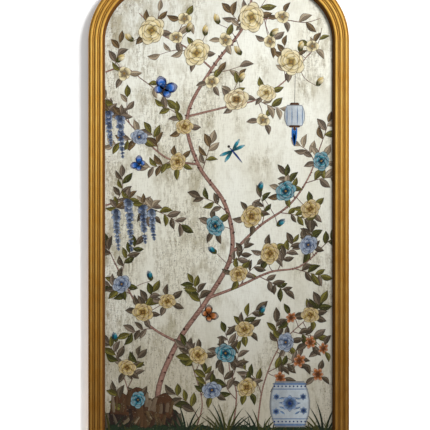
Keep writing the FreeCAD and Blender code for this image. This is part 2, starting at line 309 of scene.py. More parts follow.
# the moulding's steps, in millimetres in from the outer edge
reeds = {"first": 8.7, "pitch": 14.6, "half": 4.6, "end": 42.5, "cove": 44.1, "sight": 48.0}


def makeGilding():
    material, shader, place = newMaterial("gildedTimber")
    moulding = useGroup(mouldingGroup, Place=place)
    inset = moulding["Inset"]
    parts = split(place)
    down = remap(parts["Z"], bottomZ, bottomZ + gilding["footHeight"], 1.0, 0.0)
    # distance from the nearest reed's centre line
    shifted = minus(inset, reeds["first"])
    fromReed = absolute(calc("WRAP", shifted, reeds["pitch"] / 2, -reeds["pitch"] / 2))
    nearQuirk = absolute(minus(fromReed, reeds["half"] + 0.4))
    quirk = remap(nearQuirk, 0.4, 1.1, 1.0, 0.0)
    cloud = noise(place, *gilding["cloud"])
    fine = noise(place, *gilding["fine"])
    laps = noise(place, *gilding["laps"])
    gold = blend(remap(cloud, 0.35, 0.7, 0.0, 0.7), gilding["gold"], gilding["cloudGold"])
    gold = blend(remap(laps, 0.3, 0.75, 0.0, 0.25), gold, gilding["deepGoldAndShade"])
    # painted shade: the reed flanks turn to deep gold towards the quirks, as if shaded where they curve away
    # from the light
    flankShade = remap(fromReed, 2.0, reeds["half"], 0.0, 0.9)
    onReed = remap(fromReed, reeds["half"] + 0.3, reeds["half"] + 0.5, 1.0, 0.4)
    gold = blend(times(flankShade, onReed), gold, gilding["deepGoldAndShade"])
    worn = times(remap(fromReed, 0.0, 2.2, 1.0, 0.0), remap(fine, 0.62, 0.72))
    gold = blend(times(worn, 0.5), gold, gilding["bole"])
    # painted shade: darker towards the bottom, for the key light's falloff
    gold = blend(down, gold, gilding["foot"], "MULTIPLY")
    gold = blend(remap(inset, 0.3, 1.4, 1.0, 0.0), gold, gilding["side"])
    inReeds = remap(inset, reeds["cove"] - 0.3, reeds["cove"] + 0.3, 1.0, 0.0)
    # painted shade: the quirks get a dark, dull glaze that stands for the shade in these recesses
    shadedQuirks = times(times(quirk, inReeds), remap(cloud, 0.2, 0.8, 1.0, 0.7))
    atSight = remap(inset, reeds["sight"] - 1.2, reeds["sight"] - 0.2)
    inCove = remap(inset, reeds["end"] - 0.2, reeds["end"] + 0.6)
    for mask, name in ((inCove, "coveGold"), (shadedQuirks, "glaze"), (atSight, "sightLine")):
        gold = blend(mask, gold, gilding[name])
    # the gold wraps round the edge and stops just short of the back
    bare = remap(parts["Y"], frameBack - gilding["bareFrom"], frameBack - gilding["bareTo"])
    grain = useGroup(grainGroup, Place=place, Turn=moulding["Turn"], Scale=gilding["grainScale"],
                     Light=gilding["timber"], Dark=gilding["timberDark"])
    coloured = blend(bare, gold, grain["Colour"])
    covered = larger(larger(shadedQuirks, atSight), bare)
    metal = times(minus(1.0, covered), gilding["metal"])
    rough = plus(times(fine, 0.16), gilding["roughness"] - 0.08)
    rough = plus(rough, times(larger(covered, down), 0.25))
    height = plus(times(fine, 0.5), cloud)
    finishShader(shader, coloured, rough, metal, height, gilding["bump"], gilding["depth"])
    return material


dress(makeGilding(), "left_stile", "right_stile", "bottom_rail",
      "shoulder_left", "shoulder_right", "crown_left", "crown_right")

# Antique mirror: pale silvering that has gone brown in fine upright threads, clumps and
# specks. The patterns are scale, detail, roughness and stretch
silvering = {
    "silver": srgb(243, 244, 233), "warm": srgb(229, 226, 208),
    # painted shade: the foot colour darkens the silver over this height towards the bottom, for the key
    # light's falloff
    "foot": srgb(214, 206, 196), "footHeight": 0.62,
    # painted shade: the head colour dims the top of the silver, where the key light is strongest
    "head": srgb(242, 242, 242), "headRange": (0.0, 0.22),
    "thread": srgb(170, 160, 138), "haze": srgb(154, 144, 118),
    "cloud": srgb(184, 177, 152), "speck": srgb(74, 62, 50),
    "clumps": (6.0, 5.0, 0.62, (1.0, 1.0, 0.55)),
    "wash": (2.6, 3.0, 0.5, (1.3, 1.0, 0.6)),
    "upright": (420.0, 3.0, 0.6, (1.0, 1.0, 0.12)),
    "level": (420.0, 3.0, 0.6, (0.12, 1.0, 1.0)),
    "clouds": (20.0, 5.0, 0.72, (1.0, 1.0, 0.55)),
    "streaks": (120.0, 5.0, 0.7, (1.0, 1.0, 0.16)),
    "mottle": (150.0, 4.0, 0.7, (1.0, 1.0, 0.6)),
    "specks": (330.0, 2.0, 0.5, (1.0, 1.0, 0.8)),
    # more tarnish near the frame and low down, and more to the left, partly as painted shade for the side the
    # key light reaches less: from, to, and how much at each
    "leftwardTarnishAndShade": (0.28, -sightHalf, -0.07, 0.11),
    "edge": (48.0, 105.0, 0.07, 0.0),
    "low": (sightBottom, sightBottom + 0.9, 0.09, 0.01),
    "tarnish": (0.44, 0.66),
    "roughness": 0.44, "metal": 0.16,
}


def makeSilverGroup():
    group, given = newGroup("agedSilver", ("Place",), ("Colour", "Aged"))
    place = given["Place"]
    parts = split(place)
    inset = useGroup(mouldingGroup, Place=place)["Inset"]

    def pattern(name):
        return noise(place, *silvering[name])

    low = remap(parts["Z"], *silvering["low"])
    # partly painted shade: more tarnish towards the left, away from the key light
    leftwardTarnishAndShade = remap(parts["X"], *silvering["leftwardTarnishAndShade"])
    edge = remap(inset, *silvering["edge"])
    amount = plus(plus(pattern("clumps"), low), plus(leftwardTarnishAndShade, edge))
    tarnish = remap(amount, *silvering["tarnish"])
    threads = calc("MULTIPLY_ADD", pattern("level"), 0.4, times(pattern("upright"), 0.6))
    down = remap(parts["Z"], sightBottom, sightBottom + silvering["footHeight"], 1.0, 0.0)
    up = remap(parts["Z"], *silvering["headRange"])
    colour = blend(remap(pattern("wash"), 0.35, 0.7), silvering["silver"], silvering["warm"])
    # painted shade: darker towards the bottom
    colour = blend(down, colour, silvering["foot"], "MULTIPLY")
    # painted shade: dimmer at the top
    colour = blend(up, colour, silvering["head"], "MULTIPLY")

    # where a mark shows, and how much of it on clean and on tarnished silver
    def share(mask, least, most):
        return times(mask, remap(tarnish, 0.0, 1.0, least, most))

    clouded = share(remap(pattern("clouds"), 0.46, 0.66), 0.3, 1.0)
    threaded = share(remap(threads, 0.48, 0.64), 0.25, 0.7)
    streaks = remap(pattern("streaks"), 0.44, 0.64)
    hazy = share(times(streaks, remap(pattern("mottle"), 0.36, 0.58)), 0.08, 0.85)
    specked = times(remap(pattern("specks"), 0.60, 0.70), remap(tarnish, 0.45, 1.0, 0.0, 0.7))
    for mark, name in ((clouded, "cloud"), (threaded, "thread"), (hazy, "haze"), (specked, "speck")):
        colour = blend(mark, colour, silvering[name])
    putOut(group, Colour=colour, Aged=larger(hazy, specked))
    return group


silverGroup = makeSilverGroup()


def makeSilvering():
    material, shader, place = newMaterial("antiqueMirror")
    silver = useGroup(silverGroup, Place=place)
    metal = times(minus(1.0, times(silver["Aged"], 0.8)), silvering["metal"])
    rough = plus(silvering["roughness"], times(silver["Aged"], 0.2))
    finishShader(shader, silver["Colour"], rough, metal)
    return material


dress(makeSilvering(), "mirror_glass")

# Painted garden: raised brushwork on the front of the glass. Its tables are in millimetres,
# right of the panel's middle and up from the bottom of the sight
paint = {
    "bark": srgb(172, 134, 118), "barkEdge": srgb(84, 52, 46), "twig": srgb(124, 90, 80),
    "taupe": srgb(152, 136, 112), "smoke": srgb(112, 98, 82), "olive": srgb(98, 92, 38),
    "moss": srgb(64, 64, 22), "bronze": srgb(100, 80, 52), "shade": srgb(86, 74, 58),
    "cream": srgb(234, 220, 172), "ochre": srgb(206, 180, 104), "honey": srgb(160, 122, 56),
    "teal": srgb(38, 140, 160), "deepTeal": srgb(6, 68, 92), "periwinkle": srgb(142, 160, 184),
    "dusk": srgb(76, 98, 138), "blue": srgb(36, 108, 200), "deepBlue": srgb(20, 52, 120),
    "orange": srgb(192, 114, 52), "rust": srgb(126, 74, 40), "umber": srgb(84, 54, 32),
    "soot": srgb(44, 30, 22), "porcelain": srgb(208, 218, 224), "glazeBlue": srgb(112, 142, 184),
    "grass": srgb(34, 54, 30), "fern": srgb(26, 40, 24),
}
# a pale and a deep paint that go together
pairs = {
    "gold": ("ochre", "honey"), "teal": ("teal", "deepTeal"), "dusk": ("periwinkle", "dusk"),
    "cream": ("cream", "ochre"), "warmCream": ("cream", "honey"), "rust": ("orange", "rust"),
    "umber": ("orange", "umber"), "blue": ("blue", "deepBlue"),
}
# how far the paint stands up from the glass
rise = {"leaf": (0.40, 0.62), "stem": 0.32, "flower": 0.66, "detail": 0.95}
bladeBend = (0, 0.1, 0.3, 0.6, 1.0, 1.6, 2.3, 3.2)
bladeHalf = (0.50, 0.49, 0.46, 0.42, 0.35, 0.26, 0.15, 0)
# half width and sideways bend of each row from base to tip, on a shape one long and one
# wide, and how far its sides are drawn back
strokes = {
    "leaf": {"half": (0.05, 0.26, 0.41, 0.48, 0.46, 0.36, 0.19, 0),
             "bend": (0, 0.02, 0.05, 0.07, 0.08, 0.07, 0.04, 0)},
    "curledLeaf": {"half": (0.04, 0.20, 0.36, 0.45, 0.44, 0.35, 0.20, 0),
                   "bend": (0, -0.04, -0.09, -0.12, -0.10, -0.02, 0.12, 0.30)},
    "petal": {"half": (0.10, 0.24, 0.37, 0.46, 0.50, 0.49, 0.40, 0.22), "drawn": 0.07},
    "roundPetal": {"half": (0.08, 0.28, 0.42, 0.49, 0.50, 0.46, 0.36, 0.20), "drawn": 0.05},
    "cupPetal": {"half": (0.12, 0.32, 0.44, 0.50, 0.48, 0.40, 0.24, 0),
                 "bend": (0, 0, 0.02, 0.04, 0.06, 0.08, 0.10, 0.12)},
    "rightBlade": {"half": bladeHalf, "bend": bladeBend},
    "leftBlade": {"half": bladeHalf, "bend": tuple(-bend for bend in bladeBend)},
    "drum": {"half": (0.36, 0.43, 0.48, 0.50, 0.50, 0.48, 0.43, 0.36)},
    "stone": {"half": (0.44, 0.50, 0.42, 0.46, 0.40, 0.44, 0.30, 0.10),
              "bend": (0, 0.02, 0.06, 0.02, -0.06, -0.02, 0.04, 0.02), "drawn": 0.04},
}
strokeModels = {}
copies = {}
stems = []
random.seed(11)


def finishStroke(name, shape):
    body = shape.modifiers.new("body", "SOLIDIFY")
    body.thickness = 1.0
    body.offset = -1.0
    bpy.ops.object.modifier_apply(modifier=body.name)
    shape.name = name
    shape.data.color_attributes.new("tint", "FLOAT_COLOR", "POINT")
    strokeModels[name] = shape
    copies[name] = []


# the new primitive, open for editing, with its place and turn in its mesh
def takeShape():
    shape = bpy.context.object
    bpy.ops.object.transform_apply(location=True, rotation=True, scale=True)
    bpy.ops.object.mode_set(mode="EDIT")
    return shape


def makeStroke(name):
    bpy.ops.object.select_all(action="DESELECT")
    rows = len(strokes[name]["half"])
    bpy.ops.mesh.primitive_grid_add(x_subdivisions=2, y_subdivisions=rows - 1, size=1,
                                    location=(0, 0, 0.5), rotation=(quarter, 0, 0))
    shape = takeShape()
    bpy.ops.mesh.select_mode(type="VERT")

    def choose(test):
        edited = bmesh.from_edit_mesh(shape.data)
        for point in edited.verts:
            point.select = test(point.co)
        edited.select_flush_mode()
        bmesh.update_edit_mesh(shape.data)

    choose(lambda co: abs(co.x) > 0.25)
    bpy.ops.transform.translate(value=(0, 0, -strokes[name].get("drawn", 0)))
    bends = strokes[name].get("bend", (0,) * rows)
    for index, (half, bend) in enumerate(zip(strokes[name]["half"], bends)):
        height = index / (rows - 1)
        choose(lambda co: height - 0.10 < co.z < height + 0.04)
        bpy.ops.transform.resize(value=(2 * half, 1, 1), center_override=(0, 0, height))
        bpy.ops.transform.translate(value=(bend, 0, 0))
    bpy.ops.mesh.select_all(action="SELECT")
    bpy.ops.mesh.remove_doubles(threshold=0.0001)
    bpy.ops.object.mode_set(mode="OBJECT")
    finishStroke(name, shape)


# a round dab with an inset rim ring, for flower centres and studs
def makeDab():
    bpy.ops.object.select_all(action="DESELECT")
    bpy.ops.mesh.primitive_circle_add(vertices=14, radius=0.5, fill_type="NGON", rotation=(quarter, 0, 0))
    shape = takeShape()
    bpy.ops.mesh.select_all(action="SELECT")
    bpy.ops.mesh.inset(thickness=0.12, depth=0.0)
    bpy.ops.object.mode_set(mode="OBJECT")
    finishStroke("dab", shape)


for strokeName in strokes:
    makeStroke(strokeName)
makeDab()


def mixPaint(first, second, share):
    return tuple(a + (b - a) * share for a, b in zip(first, second))


# a colour, or the paint of that name
def tone(colour):
    return paint[colour] if isinstance(colour, str) else colour


def vary(colour, amount=0.1):
    share = 1 + random.uniform(-amount, amount)
    return tuple(channel * share for channel in tone(colour)[:3]) + (1.0,)


# the place a reach away from another, at a turn from upright
def away(x, z, turn, reach):
    return (x + math.sin(turn) * reach, z + math.cos(turn) * reach)


# how far a place is from the nearest edge of the sight
def insideSight(x, z):
    x = abs(x) / 1000
    z = sightBottom + z / 1000
    if z < springZ:
        return min(sightHalf - x, z - sightBottom) * 1000
    if (z - crownZ) > x * math.tan(shoulderAngle):
        return (crownRadius - frameWidth - math.hypot(x, z - crownZ)) * 1000
    return (shoulderRadius - frameWidth - math.hypot(x - shoulderX, z - springZ)) * 1000


def isArch(z):
    return z > (springZ - sightBottom) * 1000


def layStroke(name, x, z, length, width, turn, height, colour):
    copied = strokeModels[name].copy()
    copied.data = strokeModels[name].data.copy()
    copied.location = (x / 1000, glassFront - height / 1000, sightBottom + z / 1000)
    copied.rotation_euler = (0, turn, 0)
    copied.scale = (width / 1000, height / 1000, length / 1000)
    tint = copied.data.color_attributes["tint"].data
    tint.foreach_set("color", list(tone(colour)) * len(tint))
    copies[name].append(copied)


def layDab(x, z, size, height, colour):
    layStroke("dab", x, z, size, size, 0, height, colour)


# the points of a stem with the handles of a smooth curve through them
def smoothKnots(points):
    knots = []
    for index, point in enumerate(points):
        before = Vector(points[max(index - 1, 0)])
        after = Vector(points[min(index + 1, len(points) - 1)])
        pull = (after - before) / 6
        knots.append((Vector(point) - pull, Vector(point), Vector(point) + pull))
    return knots


# the place at a share of a stem's length and the stem's turn there
def alongStem(knots, share):
    steps = 12
    reach = min(share, 0.999) * (len(knots) - 1)
    index = int(reach)
    start, end = knots[index], knots[index + 1]
    spots = interpolate_bezier(start[1], start[2], end[0], end[1], steps + 1)
    step = min(int((reach - index) * steps), steps - 1)
    heading = spots[step + 1] - spots[step]
    return spots[step], math.atan2(heading.x, heading.y)


def layStem(points, thick, tip, colour="twig", edge="barkEdge"):
    knots = smoothKnots(points)
    bpy.ops.object.select_all(action="DESELECT")
    bpy.ops.curve.primitive_bezier_curve_add()
    stem = bpy.context.object
    bpy.ops.object.mode_set(mode="EDIT")
    bpy.ops.curve.select_all(action="SELECT")
    if len(points) > 2:
        bpy.ops.curve.subdivide(number_cuts=len(points) - 2)
    bpy.ops.object.mode_set(mode="OBJECT")
    for index, (before, middle, after) in enumerate(knots):
        knot = stem.data.splines[0].bezier_points[index]
        knot.handle_left_type = knot.handle_right_type = "FREE"
        knot.co = (middle.x / 1000, 0, middle.y / 1000)
        knot.handle_left = (before.x / 1000, 0, before.y / 1000)
        knot.handle_right = (after.x / 1000, 0, after.y / 1000)
        knot.radius = 1 + (tip / thick - 1) * index / (len(knots) - 1)
    stem.data.bevel_depth = thick / 2000
    stem.data.bevel_resolution = 2
    stem.data.resolution_u = 6
    stem.data.use_fill_caps = True
    bpy.ops.object.convert(target="MESH")
    tint = stem.data.color_attributes.new("tint", "FLOAT_COLOR", "POINT")
    for point, shade in zip(stem.data.vertices, tint.data):
        shade.color = mixPaint(paint[colour], paint[edge], (1 - abs(point.normal.y)) ** 0.8)
    # flattened to the height of the paint
    stem.scale = (1, rise["stem"] / thick, 1)
    stem.location = (0, glassFront - rise["stem"] / 2000 - random.uniform(0, 0.00003), sightBottom)
    stems.append(stem)
    return knots


def layLeaf(x, z, turn, size, tones):
    tipX, tipZ = away(x, z, turn, size)
    if tipZ < 4 or (isArch(tipZ) and insideSight(tipX, tipZ) < 4):
        return
    name = random.choice(("leaf", "leaf", "curledLeaf"))
    height = random.uniform(*rise["leaf"])
    width = size * random.uniform(0.42, 0.54)
    layStroke(name, x, z, size, width, turn, height, vary(random.choice(tones)))


# a twig that bends as it grows, with leaves by turns on either side and one at its tip
def laySpray(x, z, turn, length, leaves, size, tones):
    bend = random.uniform(-0.5, 0.5)
    middle = away(x, z, turn, length * 0.5)
    end = away(*middle, turn + bend, length * 0.5)
    if isArch(end[1]) and insideSight(*end) < 12:
        return
    knots = layStem(((x, z), middle, end), 2.8, 1.3)
    for index in range(leaves):
        spot, heading = alongStem(knots, 0.3 + 0.7 * index / (leaves - 1))
        lean = random.uniform(0.6, 1.1) * (1 if index % 2 else -1) if index < leaves - 1 else 0
        layLeaf(spot.x, spot.y, heading + lean, size * random.uniform(0.8, 1.1), tones)


# rings of a flower from the outside in: stroke, petals, reach, width and how much of the
# deep paint; and the size of its eye
flowers = {
    "garden": {"rings": (("roundPetal", 7, 0.52, 0.46, 0.1), ("petal", 6, 0.41, 0.38, 0.65),
                         ("roundPetal", 5, 0.31, 0.31, 0.05), ("cupPetal", 4, 0.21, 0.21, 0.9)), "eye": 0.09},
    "blossom": {"rings": (("roundPetal", 5, 0.50, 0.52, 0.0),), "eye": 0.16},
    "star": {"rings": (("petal", 6, 0.50, 0.26, 0.0), ("petal", 6, 0.34, 0.18, 0.5)), "eye": 0.14},
}


# a twig from the nearest stem
def layTwig(x, z, thick=2.4):
    spots = [alongStem(knots, step / 24)[0] for knots in grown for step in range(2, 25)]
    root = min(spots, key=lambda spot: (spot.x - x) ** 2 + (spot.y - z) ** 2)
    middle = ((root.x + x) / 2 + random.uniform(-8, 8), (root.y + z) / 2 + random.uniform(-8, 8))
    layStem((tuple(root), middle, (x, z)), thick, 1.4)
    return math.atan2(x - root.x, z - root.y)


def layFlower(kind, x, z, size, pair, eye="honey"):
    pale, deep = pairs[pair]
    start = random.uniform(0, 2 * math.pi)
    tilt = random.uniform(0, math.pi)
    height = rise["flower"] + random.uniform(0, 0.03)
    for stroke, count, reach, width, share in flowers[kind]["rings"]:
        start += math.pi / count
        colour = mixPaint(paint[pale], paint[deep], share)
        for index in range(count):
            turn = start + index * 2 * math.pi / count
            squash = 1 - 0.22 * math.cos(turn - tilt) ** 2
            across = size * width * random.uniform(0.92, 1.08)
            layStroke(stroke, x, z, size * reach * squash, across, turn, height, vary(colour, 0.07))
            height += 0.004
        height += 0.03
    layDab(x, z, size * flowers[kind]["eye"], height, eye)
    if kind != "garden":
        for index in range(5):
            dot = away(x, z, start + 0.6 + index * 2 * math.pi / 5, size * 0.17)
            layDab(*dot, size * 0.055, height, "umber")


def layBud(x, z, size, turn, pair):
    pale, deep = pairs[pair]
    layStroke("cupPetal", x, z, size, size * 0.5, turn - 0.12, rise["flower"], vary(deep))
    layStroke("cupPetal", x, z, size * 0.9, size * 0.34, turn + 0.10, rise["flower"] + 0.03, vary(pale))
    for lean in (0.5, -0.5):
        layStroke("leaf", x, z, size * 0.45, size * 0.2, turn + lean, rise["flower"] + 0.06, "moss")


# a hanging raceme that narrows to its tip
def layRaceme(x, z, length, pair):
    pale, deep = pairs[pair]
    knots = layStem(((x, z), (x + 3, z - length * 0.5), (x + 8, z - length)), 2.0, 0.9)
    rows = int(length / 8)
    for row in range(rows):
        share = row / (rows - 1)
        spot = alongStem(knots, share)[0]
        size = 21 - 15 * share ** 1.3
        for side in (-1, 1, 0):
            colour = mixPaint(paint[pale], paint[deep], random.uniform(0, 1))
            petalX = spot.x + side * size * 0.15
            turn = math.pi + side * random.uniform(0.6, 1.3)
            height = rise["flower"] + random.uniform(0, 0.1)
            layStroke("roundPetal", petalX, spot.y, size, size * 0.62, turn, height, colour)
    for index in range(5):
        turn = (index - 2) * 0.8 + random.uniform(-0.2, 0.2)
        layLeaf(x, z + 4, turn, random.uniform(30, 40), upperTones)


def layButterfly(x, z, size, turn, pair):
    wing, deep = pairs[pair]
    height = rise["detail"]
    for side in (-1, 1):
        for lean, reach, width in ((0.85, 0.62, 0.46), (2.05, 0.44, 0.38)):
            tall = size * reach
            wide = size * width
            wingTurn = turn + side * lean
            layStroke("petal", x, z, tall, wide, wingTurn, height, deep)
            layStroke("petal", x, z, tall * 0.82, wide * 0.74, wingTurn, height + 0.04, vary(wing))
    tail = away(x, z, turn, size * -0.26)
    layStroke("leaf", *tail, size * 0.52, size * 0.09, turn, height + 0.08, "soot")
    for side in (-1, 1):
        tip = away(x, z, turn + side * 0.35, size * 0.5)
        layStem((away(x, z, turn, size * 0.2), tip), 0.9, 0.6, "soot", "soot")


def layDragonfly(x, z, size, turn, wing, body):
    height = rise["detail"]
    for side in (-1, 1):
        for lean in (1.25, 1.85):
            layStroke("petal", x, z, size * 0.55, size * 0.13, turn + side * lean, height, vary(wing))
    tail = away(x, z, turn, size * -0.62)
    layStroke("leaf", *tail, size * 0.85, size * 0.07, turn, height + 0.05, body)
    layDab(*away(x, z, turn, size * 0.22), size * 0.1, height + 0.06, "soot")


# stems: points from the root to the tip, thickness at both ends, and the sprays they carry
growth = (
    # the trunk
    (((-150, 30), (-178, 150), (-120, 300), (-30, 430), (38, 560), (20, 700), (-60, 820),
      (-92, 960), (-20, 1100), (68, 1215), (96, 1300)), 17, 7, 8),
    # its branches, from the lowest up
    (((-30, 430), (55, 462), (150, 505), (235, 520), (300, 575)), 9, 3.5, 6),
    (((38, 560), (120, 640), (205, 700), (262, 780), (300, 880)), 9, 3, 6),
    (((-120, 300), (-205, 352), (-262, 450), (-310, 545)), 8, 3, 5),
    (((-60, 820), (-150, 838), (-228, 905), (-300, 985)), 7, 2.5, 5),
    (((-92, 960), (10, 985), (112, 1010), (196, 1066), (262, 1140)), 7, 2.5, 4),
    (((-20, 1100), (-92, 1160), (-172, 1204), (-232, 1262)), 6, 2.5, 3),
    (((68, 1215), (140, 1246), (214, 1240)), 5, 2.5, 2),
    # the shrubs at its foot
    (((40, 40), (52, 150), (30, 240), (62, 330)), 5, 2.5, 4),
    (((-280, 40), (-262, 140), (-290, 230)), 4.5, 2.5, 3),
    (((-70, 40), (-48, 120), (-72, 215)), 4.5, 2.5, 3),
    (((112, 40), (130, 170), (180, 290), (262, 372)), 5, 2.5, 5),
    # two stems that come in from the left edge
    (((-331, 700), (-262, 716), (-196, 690)), 5, 2.5, 3),
    (((-331, 1090), (-276, 1104), (-226, 1070)), 5, 2.5, 2),
)
grown = []
airyAbove = 900  # higher up the leaves thin out
paleAbove = 720  # and from here they are paler
upperTones = ("taupe", "olive", "smoke", "bronze")
lowerTones = ("olive", "moss", "shade", "smoke", "shade")


def leafTones(z):
    return upperTones if z > paleAbove else lowerTones


def growStem(points, thick, tip, sprays):
    knots = layStem(points, thick, tip, "bark")
    grown.append(knots)
    for index in range(sprays):
        spot, heading = alongStem(knots, 0.28 + 0.72 * index / (sprays - 1))
        side = 1 if index % 2 else -1
        turn = heading + (side * random.uniform(0.5, 1.0) if index < sprays - 1 else 0)
        leaves = random.randint(5, 8) if spot.y < airyAbove else random.randint(3, 5)
        length = random.uniform(60, 105)
        laySpray(spot.x, spot.y, turn, length, leaves, random.uniform(36, 44), leafTones(spot.y))
    # small knobs where old twigs broke off
    size = thick * 0.55
    for index in range(int(thick * 2.5)):
        spot, heading = alongStem(knots, random.uniform(0.05, 0.95))
        side = random.choice((-1, 1))
        turn = heading + side * random.uniform(0.7, 1.3)
        layStroke("leaf", spot.x, spot.y, size, size * 0.6, turn, 0.34, "barkEdge")


for row in growth:
    growStem(*row)

# flowers of each kind: place, size and pair of paints
blooms = {
    "garden": (
        (96, 668, 70, "gold"), (196, 742, 66, "teal"), (268, 690, 62, "gold"), (150, 560, 66, "gold"),
        (262, 585, 60, "dusk"), (-10, 640, 62, "teal"), (58, 500, 56, "gold"), (300, 830, 58, "teal"),
        (-222, 388, 64, "gold"), (-284, 470, 58, "dusk"), (-150, 420, 52, "gold"), (-60, 262, 60, "gold"),
        (20, 268, 64, "teal"), (76, 338, 58, "gold"), (-20, 160, 60, "dusk"), (82, 168, 62, "gold"),
        (196, 300, 58, "dusk"), (268, 380, 56, "gold"), (-268, 226, 56, "gold"), (-236, 132, 52, "teal"),
        (-120, 828, 56, "gold"), (-232, 900, 52, "dusk"), (140, 1030, 58, "cream"), (-100, 930, 54, "gold"),
        (-64, 1146, 84, "cream"), (-196, 1212, 88, "cream"), (96, 1250, 90, "cream"),
        (212, 1120, 86, "cream"), (52, 1010, 76, "warmCream"),
    ),
    "blossom": (
        (20, 1184, 46, "cream"), (186, 1252, 46, "cream"), (-124, 1192, 44, "cream"),
        (150, 1180, 44, "cream"), (-20, 1062, 46, "cream"), (274, 1166, 42, "cream"),
        (-276, 1086, 46, "cream"), (-100, 1246, 44, "cream"), (130, 950, 44, "cream"),
    ),
    "star": (
        (236, 246, 46, "rust"), (290, 206, 44, "rust"), (180, 196, 42, "rust"),
        (268, 300, 42, "rust"), (306, 282, 38, "rust"), (212, 372, 38, "rust"),
    ),
}
# buds of each pair of paints: size, then place and turn
buds = {
    "cream": (34, ((-92, 1206, 0.4), (66, 1140, -0.6), (150, 1196, 0.9), (-250, 1180, -0.8), (236, 1150, 0.3),
                   (-40, 1196, 0.1), (286, 1050, 0.7), (0, 1230, -0.3), (60, 1060, 0.5), (-300, 1120, 0.9))),
    "teal": (32, ((120, 740, 0.2), (-6, 560, -0.9), (-196, 480, -0.3), (120, 380, 0.5), (-300, 300, -0.2),
                  (170, 640, 0.9))),
}
# racemes: place and length
racemes = ((-300, 690, 120), (-262, 716, 150), (-222, 700, 110), (-196, 690, 90), (-322, 975, 100),
           (-288, 960, 120))


def growBloom(kind, x, z, size, pair):
    heading = layTwig(x, z)
    count = 5 if kind == "garden" and z < airyAbove else 3
    for index in range(count):
        turn = heading + (index - (count - 1) / 2) * 5.75 / count + random.uniform(-0.25, 0.25)
        layLeaf(*away(x, z, turn, size * 0.25), turn, random.uniform(34, 42), leafTones(z))
    layFlower(kind, x, z, size, pair, "umber" if kind == "star" else "honey")


for kind, rows in blooms.items():
    for row in rows:
        growBloom(kind, *row)
for pair, (size, rows) in buds.items():
    for x, z, turn in rows:
        layTwig(x, z, 2.0)
        layBud(x, z, size, turn, pair)
for row in racemes:
    layRaceme(*row, "dusk")


# its cord, cap, paper body with ribs, foot, flower, tassel and bead
def layLantern(x, z, size, cordTop):
    height = rise["detail"]
    layStem(((x + 2, cordTop), (x, z + size)), 1.6, 1.4, "barkEdge", "soot")
    layStroke("drum", x, z + size * 0.96, size * 0.14, size * 0.42, 0, height, "umber")
    layStroke("drum", x, z + size * 0.06, size * 0.94, size * 0.92, 0, height + 0.02, "porcelain")
    for share in (-0.34, -0.12, 0.12, 0.34):
        ribX = x + share * size
        layStroke("leaf", ribX, z + size * 0.08, size * 0.9, size * 0.05, 0, height + 0.05, "glazeBlue")
    layStroke("drum", x, z, size * 0.1, size * 0.5, 0, height + 0.06, "umber")
    layFlower("blossom", x, z + size * 0.53, size * 0.42, "blue", "cream")
    for share in (-0.1, 0, 0.1):
        threadX = x + share * size
        turn = math.pi + share
        layStroke("leaf", threadX, z + size * 0.02, size * 0.85, size * 0.12, turn, height, vary("blue"))
    layDab(x, z - size * 0.06, size * 0.13, height + 0.08, "umber")


def layStool(x, z, width, tall):
    height = rise["detail"]
    layStroke("drum", x, z, tall, width, 0, height, "porcelain")
    # bands at foot and rim, and the studs along them
    for share, deep in ((0.03, 0.045), (0.92, 0.045), (0.17, 0.02), (0.82, 0.02)):
        reach = 0.80 + 0.36 * min(share, 1 - share) * 2
        layStroke("drum", x, z + tall * share, tall * deep, width * reach, 0, height + 0.04, "glazeBlue")
    for share in (0.12, 0.89):
        for index in range(9):
            layDab(x + (index - 4) * width * 0.095, z + tall * share, 5, height + 0.05, "deepBlue")
    # painted flowers: aside, up, size and petals
    for side, lift, size, petals in ((0, 0.52, 0.42, 8), (-0.34, 0.34, 0.20, 6), (0.34, 0.36, 0.20, 6),
                                     (-0.33, 0.66, 0.18, 6), (0.33, 0.66, 0.18, 6)):
        centre = (x + side * width, z + tall * lift)
        reach = width * size
        for index in range(petals):
            turn = index * 2 * math.pi / petals
            petalHeight = height + 0.05 + index * 0.002
            layStroke("petal", *centre, reach * 0.5, reach * 0.3, turn, petalHeight, vary("glazeBlue"))
        layDab(*centre, reach * 0.22, height + 0.09, "deepBlue")
    for side in (-1, 1):
        leafX = x + side * width * 0.12
        for index in range(4):
            leafZ = z + tall * (0.28 + 0.12 * index)
            turn = side * (1.0 + 0.25 * index)
            layStroke("leaf", leafX, leafZ, width * 0.16, width * 0.05, turn, height + 0.05, "glazeBlue")


# each stone: place, width, height, turn and tone
rock = (
    (-150, 34, 96, 78, -0.1, "soot"), (-214, 30, 120, 92, 0.15, "umber"), (-286, 28, 96, 84, -0.2, "soot"),
    (-170, 84, 70, 70, 0.2, "umber"), (-232, 96, 84, 74, -0.15, "umber"), (-290, 88, 62, 66, 0.1, "umber"),
    (-196, 60, 40, 44, -0.5, "bronze"), (-262, 56, 44, 40, 0.6, "bronze"),
)
# arching tufts of grass: place, blades and length
tufts = ((-96, 11, 96), (20, 13, 112), (120, 9, 90), (-318, 7, 100), (306, 11, 116))
turf = {"mounds": 30, "start": -310, "pitch": 21.4, "blades": 150, "reach": 322}


# a stone with its light and dark facets
def layStone(x, z, width, tall, turn, colour):
    layStroke("stone", x, z, tall, width, turn, 0.50 + random.uniform(0, 0.1), vary(colour))
    for index in range(7):
        facetX = x + (index - 3) * width * 0.13
        reach = tall * random.uniform(0.35, 0.8)
        name = random.choice(("stone", "drum"))
        facetZ = z + random.uniform(0.05, 0.25) * tall
        across = width * random.uniform(0.06, 0.2)
        lean = turn + random.uniform(-0.3, 0.3)
        height = 0.62 + random.uniform(0, 0.05)
        other = random.choice(("bronze", "soot", "taupe"))
        shade = mixPaint(paint[colour], paint[other], random.uniform(0.3, 0.8))
        layStroke(name, facetX, facetZ, reach, across, lean, height, vary(shade))


